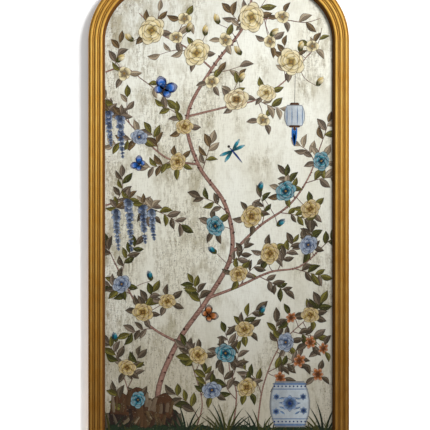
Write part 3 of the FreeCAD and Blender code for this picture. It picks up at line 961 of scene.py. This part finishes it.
def layTurf():
    for index in range(turf["mounds"]):
        x = turf["start"] + index * turf["pitch"]
        tall = random.uniform(50, 60)
        lean = random.uniform(-0.1, 0.1)
        layStroke("stone", x, 1, tall, 62, lean, 0.70 + random.uniform(0, 0.1), vary("grass", 0.2))
    for index in range(turf["blades"]):
        x = random.uniform(-turf["reach"], turf["reach"])
        name = random.choice(("rightBlade", "leftBlade"))
        z = random.uniform(8, 30)
        length = random.uniform(30, 58)
        width = random.uniform(3, 5)
        lean = random.uniform(-0.3, 0.3)
        height = 0.82 + random.uniform(0, 0.1)
        shade = vary(random.choice(("grass", "fern", "moss")), 0.2)
        layStroke(name, x, z, length, width, lean, height, shade)


def layTuft(x, count, length):
    for index in range(count):
        turn = -1.15 + 2.3 * index / (count - 1)
        name = "rightBlade" if turn > 0 else "leftBlade"
        reach = length * (1 - 0.3 * abs(turn)) * random.uniform(0.85, 1.1)
        height = 0.84 + random.uniform(0, 0.1)
        shade = vary(random.choice(("fern", "moss")), 0.25)
        layStroke(name, x + turn * 8, 20, reach, 7, turn * 0.75, height, shade)


layLantern(222, 928, 66, 1090)
layStool(208, 52, 118, 134)
for row in rock:
    layStone(*row)
layTurf()
for row in tufts:
    layTuft(*row)
layButterfly(-160, 1040, 66, 0.5, "blue")
layButterfly(-232, 820, 44, -0.9, "blue")
layButterfly(-30, 380, 50, 0.9, "umber")
layDragonfly(40, 860, 74, -0.7, "teal", "deepBlue")
print("garden laid", sum(len(batch) for batch in copies.values()), "strokes", len(stems), "stems")

# Brushwork: streaked washes, worn through to the silvering in places, and line work
brushwork = {
    "streaks": (420.0, 3.0, 0.6, (1.0, 1.0, 0.45)), "washes": (46.0, 3.0, 0.6), "wear": (210.0, 4.0, 0.7),
    "rings": (170.0, 3.0, 0.6, (0.6, 1.0, 2.6)), "veins": 44.0, "ribs": 46.0,
    "darker": (0.62, 0.60, 0.60, 1), "line": (0.17, 0.14, 0.13, 1), "bloom": (0.88, 0.86, 0.78, 1),
    "worn": 0.4, "gloss": 0.2, "bump": 0.25, "depth": 0.0001,
}


def makeBrushGroup():
    group, given = newGroup("brushwork", ("Place", "Paint"), ("Colour", "Roughness", "Height"))
    place = given["Place"]
    streaks = noise(place, *brushwork["streaks"])
    washes = noise(place, *brushwork["washes"])
    darker = blend(1.0, given["Paint"], brushwork["darker"], "MULTIPLY")
    colour = blend(remap(washes, 0.3, 0.75, 0.0, 0.55), given["Paint"], darker)
    colour = blend(remap(streaks, 0.52, 0.75, 0.0, 0.5), colour, darker)
    worn = times(remap(noise(place, *brushwork["wear"]), 0.60, 0.70), brushwork["worn"])
    colour = blend(worn, colour, useGroup(silverGroup, Place=place)["Colour"])
    putOut(group, Colour=colour, Roughness=remap(streaks, 0.3, 0.8, 0.42, 0.6), Height=streaks)
    return group


brushGroup = makeBrushGroup()


# outline, midrib and veins are drawn along each stroke by its own UV map
def drawStroke(tree, pattern, tint):
    onStroke = split(addNode(tree, "UVMap", uv_map="UVMap").outputs[0])
    across = minus(onStroke["X"], 0.5)
    fromMiddle = absolute(across)
    along = onStroke["Y"]
    dark = blend(1.0, tint, brushwork["line"], "MULTIPLY")
    if pattern == "leaf":
        pale = blend(1.0, tint, tint, "SCREEN")
        slope = minus(along, times(fromMiddle, 0.8))
        vein = calc("SINE", times(slope, brushwork["veins"]))
        outline = larger(remap(fromMiddle, 0.36, 0.47), remap(along, 0.86, 0.97))
        colour = blend(remap(across, -0.06, 0.04, 0.8, 0.0), tint, pale)
        lines = (remap(across, 0.0, 0.3, 0.0, 0.3), remap(vein, 0.5, 1.0, 0.0, 0.6),
                 remap(fromMiddle, 0.02, 0.06, 0.85, 0.0), times(outline, 0.85))
    elif pattern == "petal":
        pale = blend(0.28, tint, brushwork["bloom"])
        ribs = remap(calc("SINE", times(across, brushwork["ribs"])), 0.3, 1.0)
        outline = larger(remap(fromMiddle, 0.38, 0.47), remap(along, 0.91, 0.98))
        colour = blend(remap(along, 0.66, 0.88, 0.0, 0.95), tint, pale)
        lines = (times(ribs, remap(along, 0.3, 0.9, 0.45, 0.0)), remap(along, 0.3, 0.75, 0.85, 0.0),
                 times(outline, 0.8))
    else:
        fromCentre = larger(fromMiddle, absolute(minus(along, 0.5)))
        colour = blend(remap(across, -0.5, 0.5, 0.35, 0.0), tint, dark)
        lines = (remap(fromCentre, 0.43, 0.49, 0.0, 0.7),)
    for line in lines:
        colour = blend(line, colour, dark)
    return colour


def makePaint(name, pattern):
    material, shader, place = newMaterial(name)
    tree = material.node_tree
    tint = addNode(tree, "Attribute", attribute_name="tint", attribute_type="GEOMETRY")
    colour = tint.outputs["Color"]
    if pattern == "bark":
        rings = noise(place, *brushwork["rings"])
        colour = blend(remap(rings, 0.46, 0.62, 0.0, 0.6), colour, paint["barkEdge"])
    elif pattern != "plain":
        colour = drawStroke(tree, pattern, colour)
    brushed = useGroup(brushGroup, Place=place, Paint=colour)
    shader.inputs["Specular IOR Level"].default_value = brushwork["gloss"]
    finishShader(shader, brushed["Colour"], brushed["Roughness"], None, brushed["Height"],
                 brushwork["bump"], brushwork["depth"])
    return material


def gather(name, pieces, material):
    bpy.ops.object.select_all(action="DESELECT")
    for piece in pieces:
        if piece.name not in bpy.context.collection.objects:
            bpy.context.collection.objects.link(piece)
        piece.select_set(True)
    bpy.context.view_layer.objects.active = pieces[0]
    bpy.ops.object.join()
    joined = bpy.context.object
    bpy.ops.object.transform_apply(location=True, rotation=True, scale=True)
    bpy.ops.object.mode_set(mode="EDIT")
    # what runs on under the frame is cut off at the sight's straight sides
    for side in (-1, 1):
        bpy.ops.mesh.select_all(action="SELECT")
        edge = (side * (sightHalf - 0.0004), 0, 0)
        bpy.ops.mesh.bisect(plane_co=edge, plane_no=(side, 0, 0), use_fill=True, clear_outer=True)
    bpy.ops.object.mode_set(mode="OBJECT")
    joined.name = name
    joined.data.materials.clear()
    joined.data.materials.append(material)
    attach(joined, "mirror")
    print(name, len(joined.data.polygons), "faces")


# each piece's paint, how it is drawn, and the strokes it gathers
painted = {
    "painted_leaves": ("leafPaint", "leaf", ("leaf", "curledLeaf")),
    "painted_petals": ("petalPaint", "petal", ("petal", "roundPetal", "cupPetal")),
    "painted_grass": ("grassPaint", "plain", ("rightBlade", "leftBlade")),
    "painted_ware": ("warePaint", "ware", ("drum", "stone", "dab")),
}
gather("painted_stems", stems, makePaint("stemPaint", "bark"))
for pieceName, (paintName, pattern, names) in painted.items():
    pieces = [piece for name in names for piece in copies[name]]
    gather(pieceName, pieces, makePaint(paintName, pattern))
for strokeModel in strokeModels.values():
    bpy.data.objects.remove(strokeModel)
print("garden painted")

# Back board: brown fibreboard with stray fibres
board = {
    "main": srgb(158, 120, 82), "grain": srgb(118, 84, 54), "pale": srgb(186, 150, 110),
    "scale": 420.0, "share": 0.35, "cloud": (4.0, 3.0),
    "upright": (240.0, 3.0, 0.6, (1.0, 1.0, 0.10)), "level": (240.0, 3.0, 0.6, (0.10, 1.0, 1.0)),
    "roughness": 0.62, "bump": 0.2, "depth": 0.0003,
}


def makeBoard():
    material, shader, place = newMaterial("backBoard")
    pulp = grainOver(place, board)
    upright = noise(place, *board["upright"])
    level = noise(place, *board["level"])
    cloud = noise(place, *board["cloud"])
    colour = blend(remap(upright, 0.60, 0.74, 0.0, 0.6), pulp["Colour"], board["grain"])
    colour = blend(remap(level, 0.62, 0.74, 0.0, 0.5), colour, board["pale"])
    colour = blend(remap(cloud, 0.3, 0.75, 0.0, 0.25), colour, board["grain"])
    rough = plus(board["roughness"], times(level, 0.15))
    height = plus(pulp["Height"], upright)
    finishShader(shader, colour, rough, None, height, board["bump"], board["depth"])
    return material


dress(makeBoard(), "backing_board")

# Spacer sheet: kraft corrugated board, its flutes upright
corrugated = {
    "main": srgb(190, 156, 112), "grain": srgb(146, 114, 76), "flutePitch": 0.0062,
    "scale": 500.0, "share": 0.4, "roughness": 0.8, "bump": 0.3, "depth": 0.0004,
}


def makeCorrugated():
    material, shader, place = newMaterial("corrugatedSheet")
    pulp = grainOver(place, corrugated)
    turns = times(split(place)["X"], 2 * math.pi / corrugated["flutePitch"])
    flute = calc("MULTIPLY_ADD", calc("SINE", turns), 0.5, 0.5)
    colour = blend(times(flute, 0.25), pulp["Colour"], corrugated["grain"])
    rough = plus(corrugated["roughness"], times(flute, 0.05))
    height = plus(flute, pulp["Height"])
    finishShader(shader, colour, rough, None, height, corrugated["bump"], corrugated["depth"])
    return material


dress(makeCorrugated(), "spacer_sheet")

# Grained small parts: felt tape, rubber blocks and bumpers, cork spacers
grained = {
    "feltTape": {"main": srgb(44, 38, 36), "grain": srgb(70, 62, 58), "scale": 1400.0, "share": 0.6,
                 "roughness": 0.92, "depth": 0.0003, "node": "rebate_tape"},
    "settingRubber": {"main": srgb(40, 40, 42), "grain": srgb(62, 62, 64), "scale": 900.0, "share": 0.4,
                      "roughness": 0.62, "depth": 0.0001, "node": "setting_blocks"},
    "corkSpacer": {"main": srgb(196, 148, 100), "grain": srgb(112, 74, 44), "scale": 480.0, "share": 0.8,
                   "roughness": 0.82, "depth": 0.0004, "node": "edge_spacers"},
    "bumperRubber": {"main": srgb(58, 58, 60), "grain": srgb(84, 84, 86), "scale": 1100.0, "share": 0.35,
                     "roughness": 0.55, "depth": 0.0001, "node": "wall_bumpers"},
}


def makeGrained(name):
    values = grained[name]
    material, shader, place = newMaterial(name)
    pulp = grainOver(place, values)
    scuff = noise(place, 60.0, 3.0)
    rough = plus(values["roughness"] - 0.08, times(scuff, 0.16))
    finishShader(shader, pulp["Colour"], rough, None, pulp["Height"], 0.35, values["depth"])
    return material


for grainedName in grained:
    dress(makeGrained(grainedName), grained[grainedName]["node"])

# Splines: pale hardwood keys let into the back of the arch
spline = {"light": srgb(214, 178, 128), "dark": srgb(172, 130, 84), "scale": 140.0, "roughness": 0.6}


def makeSpline():
    material, shader, place = newMaterial("splineTimber")
    turn = useGroup(mouldingGroup, Place=place)["Turn"]
    grain = useGroup(grainGroup, Place=place, Turn=turn, Scale=spline["scale"],
                     Light=spline["light"], Dark=spline["dark"])
    rough = plus(spline["roughness"] - 0.05, times(grain["Height"], 0.08))
    finishShader(shader, grain["Colour"], rough, None, grain["Height"], 0.2, 0.0003)
    return material


dress(makeSpline(), "joint_splines")

# Small steel: plated buttons, screws and hangers, bare nails
buttonNames = [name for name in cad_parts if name.startswith("turn_button_")]
buttonNames.remove("turn_button_screws")
hangerNames = [f"hanger_{piece}_{side}" for piece in ("strap", "ring") for side in ("left", "right")]
steels = {
    "buttonSteel": {"bright": srgb(206, 208, 210), "dull": srgb(160, 163, 168), "polish": 0.26,
                    "nodes": buttonNames},
    "screwSteel": {"bright": srgb(214, 206, 176), "dull": srgb(168, 158, 126), "polish": 0.24,
                   "nodes": ["turn_button_screws", "hanger_screws"]},
    "hangerSteel": {"bright": srgb(208, 210, 214), "dull": srgb(158, 162, 168), "polish": 0.22,
                    "nodes": hangerNames},
    "nailSteel": {"bright": srgb(170, 172, 176), "dull": srgb(120, 116, 112), "polish": 0.34,
                  "nodes": ["mitre_nails"]},
}


def makeSteel(name):
    values = steels[name]
    material, shader, place = newMaterial(name)
    plate = useGroup(platingGroup, Place=place, Bright=values["bright"], Dull=values["dull"],
                     Polish=values["polish"])
    shader.inputs["Metallic"].default_value = 0.95
    finishShader(shader, plate["Colour"], plate["Roughness"], None, plate["Height"], 0.15, 0.0001)
    return material


for steelName in steels:
    dress(makeSteel(steelName), *steels[steelName]["nodes"])
print("finishes set")

# Lights: a near soft key from the right and above, and a plain one behind
lights = {
    "key": {"place": (1.24, -1.85, 0.95), "aim": (-0.6, 0.0, -0.22),
            "size": 0.62, "spread": 90, "power": 17.0},
    "back": {"place": (1.2, 2.2, 0.9), "aim": (0.0, 0.0, -0.35),
             "size": 1.4, "spread": 180, "power": 42.0},
}


def addLight(name):
    light = lights[name]
    bpy.ops.object.light_add(type="AREA", location=light["place"])
    lamp = bpy.context.object
    lamp.name = name + "Light"
    lamp.rotation_euler = (Vector(light["aim"]) - Vector(light["place"])).to_track_quat("-Z", "Y").to_euler()
    lamp.data.size = light["size"]
    lamp.data.spread = math.radians(light["spread"])
    lamp.data.energy = light["power"]


for lightName in lights:
    addLight(lightName)

# The room that the mirror and the gold reflect: a white wall behind, softer and dimmer in
# front, dimmest below. A row is the direction where a change begins and ends, and the
# brightness at each
room = {
    "ambient": 0.22, "rise": (-0.35, 0.5, 0.05, 0.85), "left": (0.0, -0.8, 1.0, 0.35),
    "right": (0.2, 0.95, 1.0, 2.6), "behind": (-0.1, 0.25),
}


def makeWorld():
    world = bpy.data.worlds.new("room")
    bpy.context.scene.world = world
    world.use_nodes = True
    tree = world.node_tree
    background = tree.nodes["Background"]
    parts = split(addNode(tree, "TexCoord").outputs["Generated"])
    sideways = times(remap(parts["X"], *room["left"]), remap(parts["X"], *room["right"]))
    inFront = times(remap(parts["Z"], *room["rise"]), sideways)
    mirrored = blendValue(remap(parts["Y"], *room["behind"]), inFront, 1.0)
    path = addNode(tree, "LightPath").outputs
    reflected = larger(path["Is Glossy Ray"], path["Is Transmission Ray"])
    lit = blendValue(reflected, room["ambient"], mirrored)
    tree.links.new(blendValue(path["Is Camera Ray"], lit, 1.0), background.inputs["Strength"])
    background.inputs["Color"].default_value = (1, 1, 1, 1)


makeWorld()

# Stage: a white wall that only shows from the front, and a pale floor well below the mirror
stage = {
    "wallWidth": 7.0, "wallTop": 2.2, "wallGap": 0.0004, "floorDrop": 0.45, "floorDepth": 5.0,
    "paint": (2.5, 0.95), "glow": (0.10, 0.36),  # the wall's, at the mirror's foot and at its spring
    # how far the painted contact shade on the wall reaches
    "contactShade": 0.03, "floorGlow": 0.62,
    "floorPaint": (0.80, 0.80, 0.79, 1), "floorCloud": (0.84, 0.84, 0.83, 1),
}
floorZ = bottomZ - stage["floorDrop"]


def addSheet(name, place, turn, depth):
    bpy.ops.mesh.primitive_plane_add(size=1, location=place, rotation=(turn, 0, 0))
    sheet = bpy.context.object
    sheet.name = name
    sheet.scale = (stage["wallWidth"], depth, 1)
    bpy.ops.object.transform_apply(location=True, rotation=True, scale=True)
    return sheet


def makeWall():
    height = stage["wallTop"] - floorZ
    wall = addSheet("wall", (0, stage["wallGap"], floorZ + height / 2), quarter, height)
    material = bpy.data.materials.new("wallPaint")
    material.use_nodes = True
    tree = material.node_tree
    tree.nodes.remove(tree.nodes["Principled BSDF"])
    up = split(addNode(tree, "TexCoord").outputs["Object"])["Z"]
    # the paint makes up for the key light's falloff, so the wall stays evenly white
    pale = remap(up, bottomZ, springZ, *stage["paint"])
    coat = addNode(tree, "BsdfDiffuse", {"Color": pale}).outputs[0]
    # painted contact shade: the glow fades by ambient occlusion where the frame stands close to the wall
    contactShade = addNode(tree, "AmbientOcclusion", {"Distance": stage["contactShade"]}, samples=8)
    glow = times(remap(up, bottomZ, springZ, *stage["glow"]), contactShade.outputs["AO"])
    shine = addNode(tree, "Emission", {"Strength": glow}).outputs[0]
    surface = addNode(tree, "AddShader", {0: coat, 1: shine}).outputs[0]
    clear = addNode(tree, "BsdfTransparent").outputs[0]
    path = addNode(tree, "LightPath").outputs
    behind = addNode(tree, "NewGeometry").outputs["Backfacing"]
    shown = times(larger(path["Is Camera Ray"], path["Is Glossy Ray"]), minus(1.0, behind))
    mixed = addNode(tree, "MixShader", {0: shown, 1: clear, 2: surface}).outputs[0]
    tree.links.new(mixed, tree.nodes["Material Output"].inputs["Surface"])
    wall.data.materials.append(material)


def makeFloor():
    floor = addSheet("floor", (0, 0, floorZ), 0, stage["floorDepth"])
    material, shader, place = newMaterial("floorPaint")
    tree = material.node_tree
    shader.inputs["Roughness"].default_value = 0.7
    colour = blend(noise(place, 2.0, 2.0), stage["floorPaint"], stage["floorCloud"])
    path = addNode(tree, "LightPath").outputs
    glow = times(larger(path["Is Camera Ray"], path["Is Glossy Ray"]), stage["floorGlow"])
    tree.links.new(colour, shader.inputs["Base Color"])
    tree.links.new(colour, shader.inputs["Emission Color"])
    tree.links.new(glow, shader.inputs["Emission Strength"])
    floor.data.materials.append(material)


makeWall()
makeFloor()

bpy.context.scene.view_settings.view_transform = "Standard"
bpy.context.view_layer.update()
print("scene ready")
